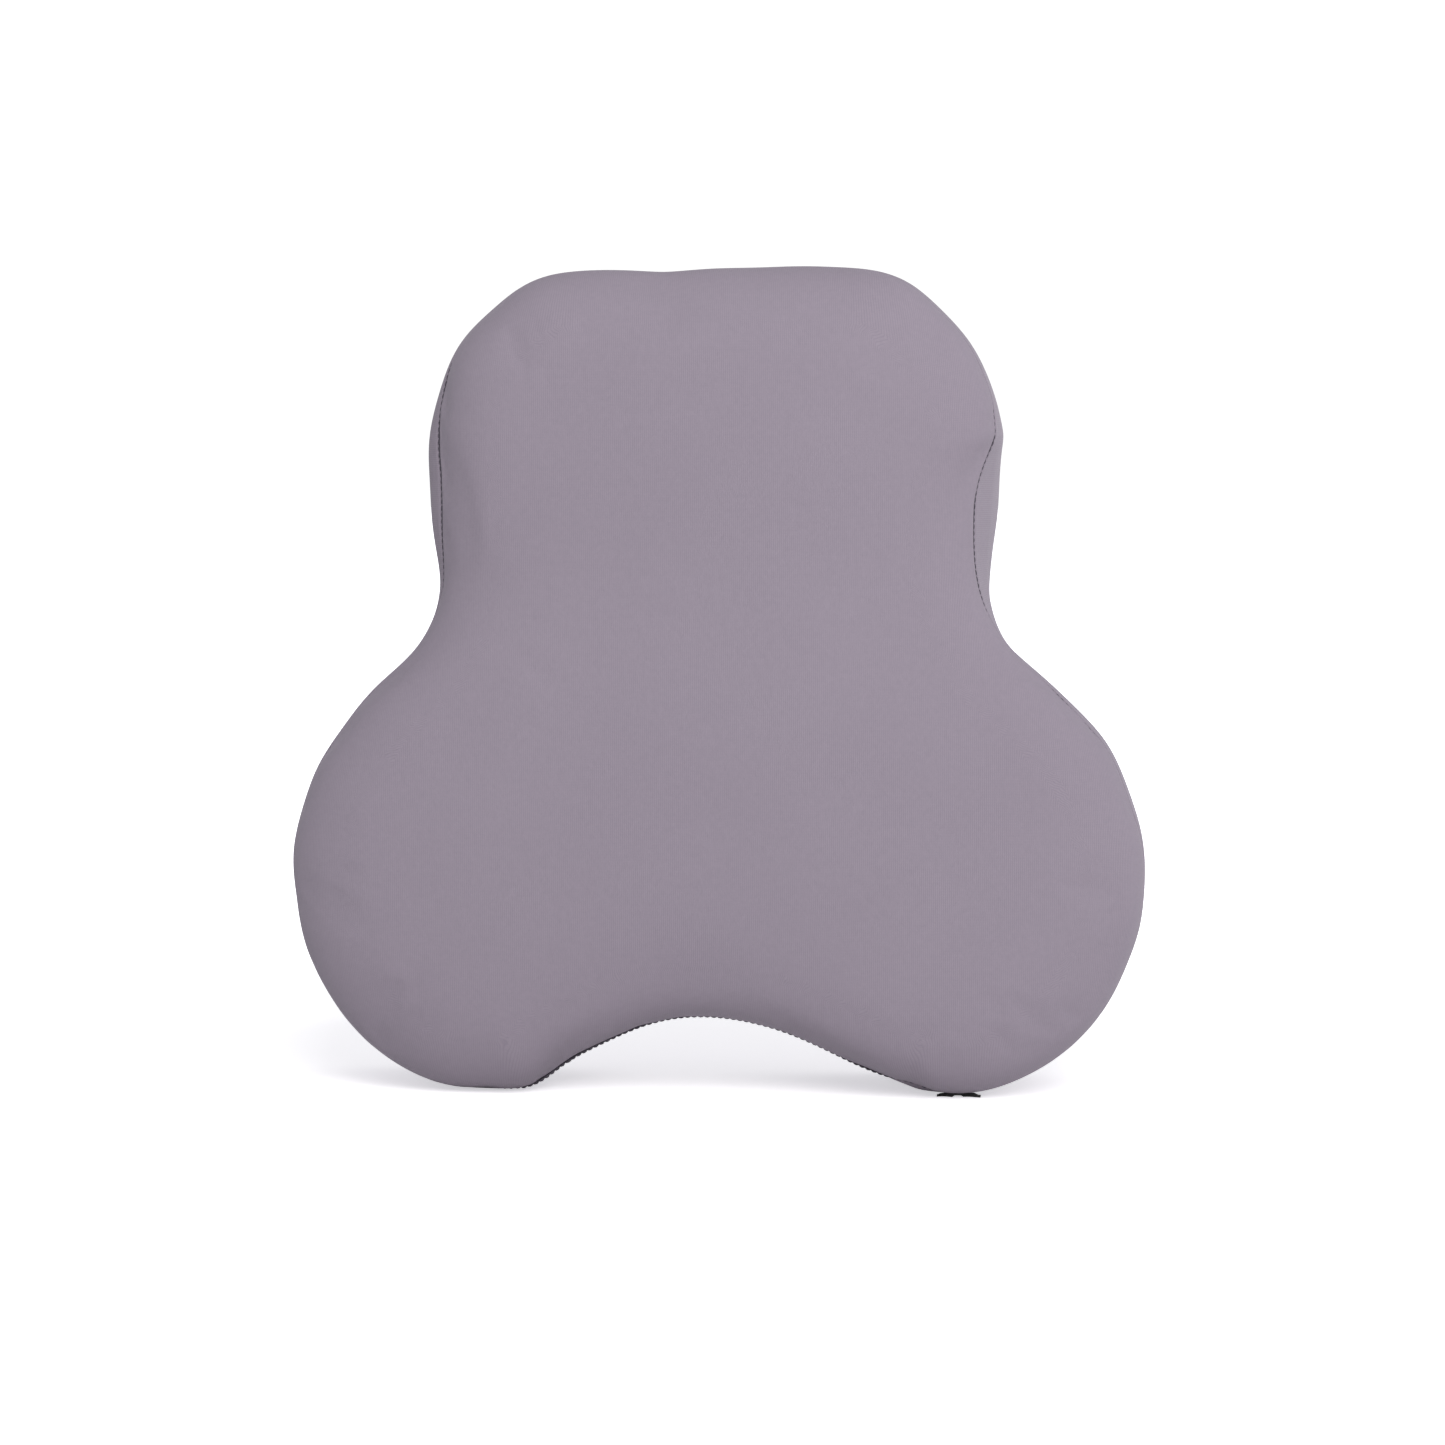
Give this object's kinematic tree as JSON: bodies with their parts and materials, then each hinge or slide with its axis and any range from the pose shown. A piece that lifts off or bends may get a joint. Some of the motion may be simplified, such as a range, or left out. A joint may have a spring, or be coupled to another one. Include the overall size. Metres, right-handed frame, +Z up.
{
  "type": "office chair back cushion",
  "caption": "Three-lobed foam cushion for an office chair's back or head, with a zipped knit cover, a bottom notch and a rear elastic strap with a side-release buckle.",
  "frame": {"origin": "on the floor that the two feet stand on, midway across the width and midway from the front face to the buckle's outer face", "axes": "+Z up, +X across the width, the domed front face looks along -Y and the strap is on the +Y side"},
  "size_m": [0.391, 0.14, 0.377],
  "materials": {
    "foam": "open-cell memory foam, matte, cream",
    "liner_knit": "thin white knit, matte",
    "cover_knit": "fine stretch knit, purple-grey, soft sheen",
    "seam_thread": "dark polyester lockstitch thread, matte",
    "zip_tape": "black woven zip tape, matte",
    "zip_nylon": "black nylon coil, satin",
    "zip_metal": "black enamelled zinc, satin, worn at the edges",
    "webbing": "black woven elastic, ribbed, matte",
    "buckle_plastic": "black acetal, fine spark texture, satin",
    "label_cloth": "blank white satin tape, matte"
  },
  "bodies": {
    "cushion": {"foam_core": "foam", "inner_liner": "liner_knit", "cover_front_panel": "cover_knit", "cover_side_band": "cover_knit", "cover_back_panel": "cover_knit", "front_seam_thread": "seam_thread", "back_seam_thread": "seam_thread", "zip_tape_front": "zip_tape", "zip_tape_rear": "zip_tape", "zip_coil_front": "zip_nylon", "zip_coil_rear": "zip_nylon", "zip_top_stops": "zip_metal", "zip_bottom_stop": "zip_metal", "seam_tab": "zip_tape", "strap_socket_side": "webbing", "strap_plug_side": "webbing", "strap_anchor_stitches": "seam_thread", "buckle_socket": "buckle_plastic", "care_label": "label_cloth"},
    "zip_slider": {"zip_slider_body": "zip_metal"},
    "zip_pull": {"zip_pull_tab": "zip_metal"},
    "buckle_plug_half": {"buckle_plug": "buckle_plastic"},
    "prong_upper": {"buckle_prong_upper": "buckle_plastic"},
    "prong_lower": {"buckle_prong_lower": "buckle_plastic"},
    "adjuster": {"strap_adjuster": "buckle_plastic"}
  },
  "joints": [
    {"name": "zip_slider_travel", "type": "hinge", "parent": "cushion", "child": "zip_slider", "pos_m": [0, -0.002, -0.0885], "axis": [0, 1, 0], "range_deg": [-60, 0], "deforming": ["zip_coil_front", "zip_coil_rear"]},
    {"name": "zip_pull_swing", "type": "hinge", "parent": "zip_slider", "child": "zip_pull", "pos_m": [0.05526, -0.002, 0.01542], "axis": [0, 1, 0], "range_deg": [-165, 0]},
    {"name": "buckle_release", "type": "slide", "parent": "cushion", "child": "buckle_plug_half", "axis": [1, 0, 0], "range_m": [0, 0.026], "deforming": ["strap_plug_side", "buckle_prong_upper", "buckle_prong_lower"]},
    {"name": "prong_upper_squeeze", "type": "hinge", "parent": "buckle_plug_half", "child": "prong_upper", "pos_m": [0.007, 0.064, 0.3008], "axis": [0, -1, 0], "range_deg": [0, 17], "stiffness_Nm_per_rad": 0.6},
    {"name": "prong_lower_squeeze", "type": "hinge", "parent": "buckle_plug_half", "child": "prong_lower", "pos_m": [0.007, 0.064, 0.2792], "axis": [0, 1, 0], "range_deg": [0, 17], "stiffness_Nm_per_rad": 0.6},
    {"name": "adjuster_slide", "type": "slide", "parent": "cushion", "child": "adjuster", "axis": [0.8679, 0.4968, 0], "range_m": [-0.016, 0.016]}
  ],
  "couplings": [
    {"joint": "prong_lower_squeeze", "follows": "prong_upper_squeeze", "ratio": 1}
  ]
}
